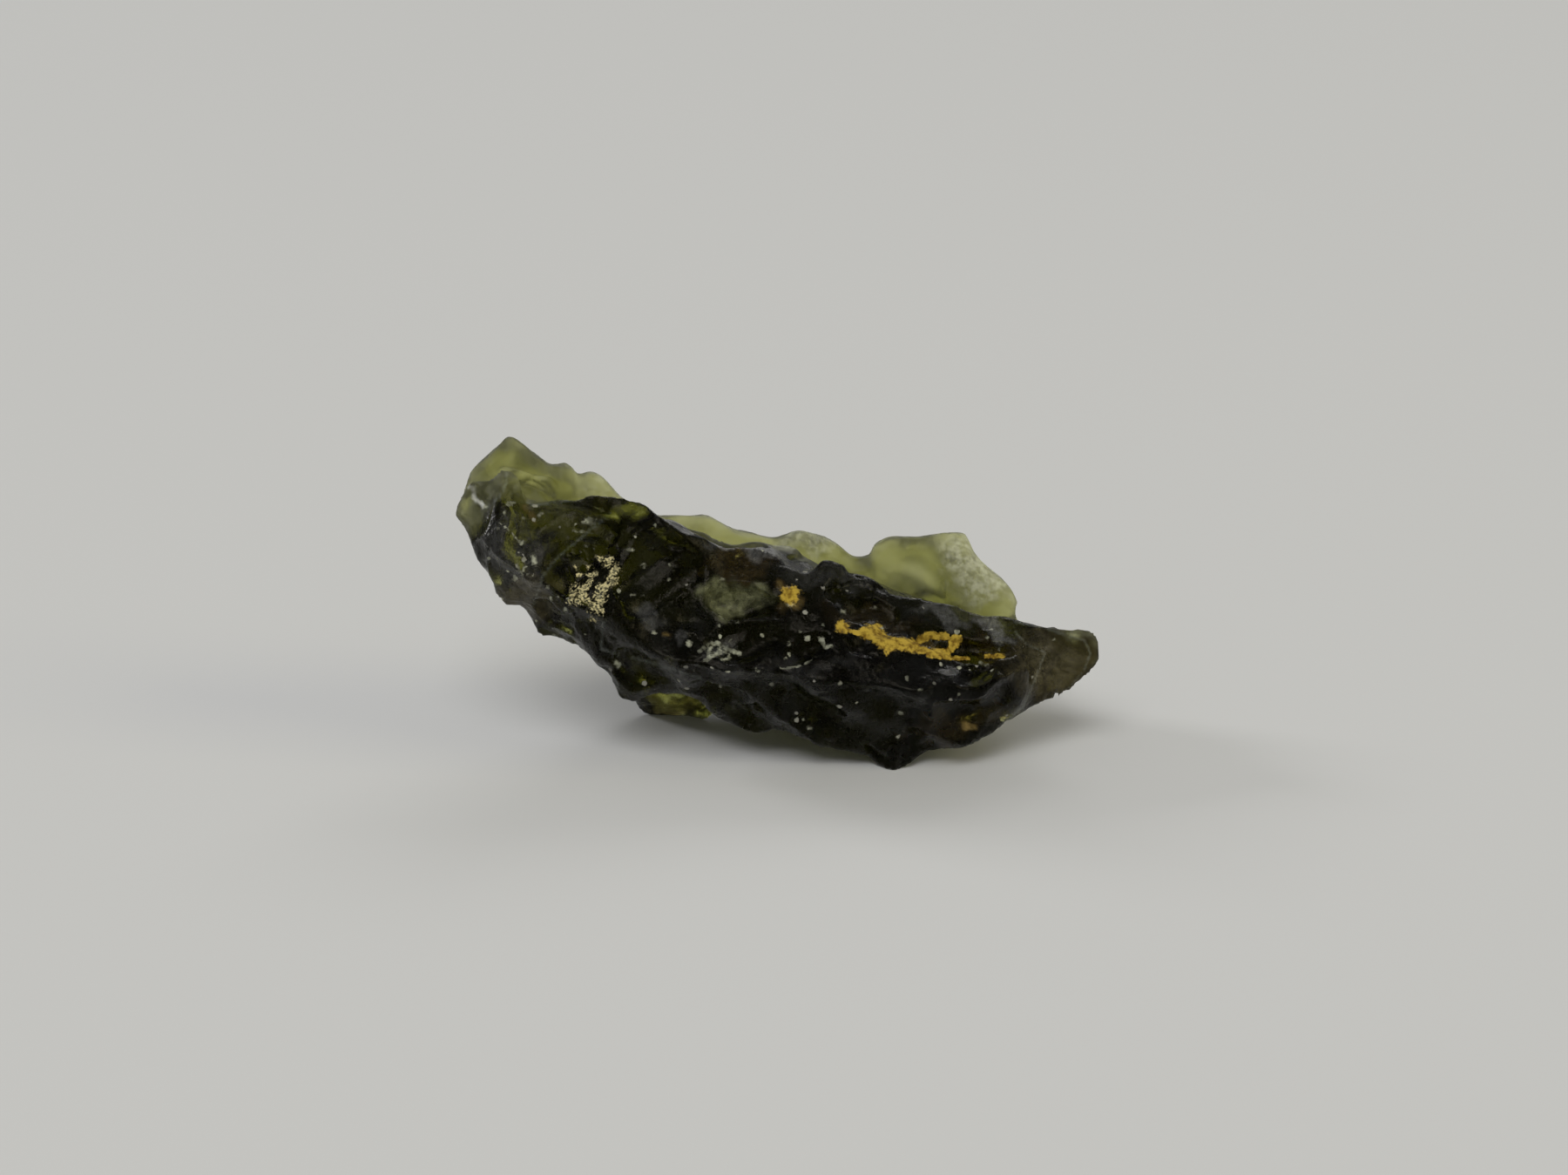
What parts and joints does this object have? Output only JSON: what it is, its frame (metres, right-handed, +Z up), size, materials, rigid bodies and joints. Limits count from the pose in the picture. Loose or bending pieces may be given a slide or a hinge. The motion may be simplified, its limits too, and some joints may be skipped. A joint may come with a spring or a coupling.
{
  "type": "moldavite",
  "caption": "Raw splinter of green natural glass, long and curved, with a pitted thick front block and a thin clear rim behind; rests on three worn spots",
  "frame": {"origin": "below the middle of the bounding box, on the plane the stone rests on", "axes": "+X along the stone from its raised arm to its pointed right end, +Y from the thick front block to the thin rear rim, +Z up"},
  "size_m": [0.0318, 0.0132, 0.0156],
  "materials": {
    "moldavite_glass": "etched, pitted, dusty natural glass"
  },
  "bodies": {
    "root": {"moldavite": "moldavite_glass"}
  },
  "joints": []
}
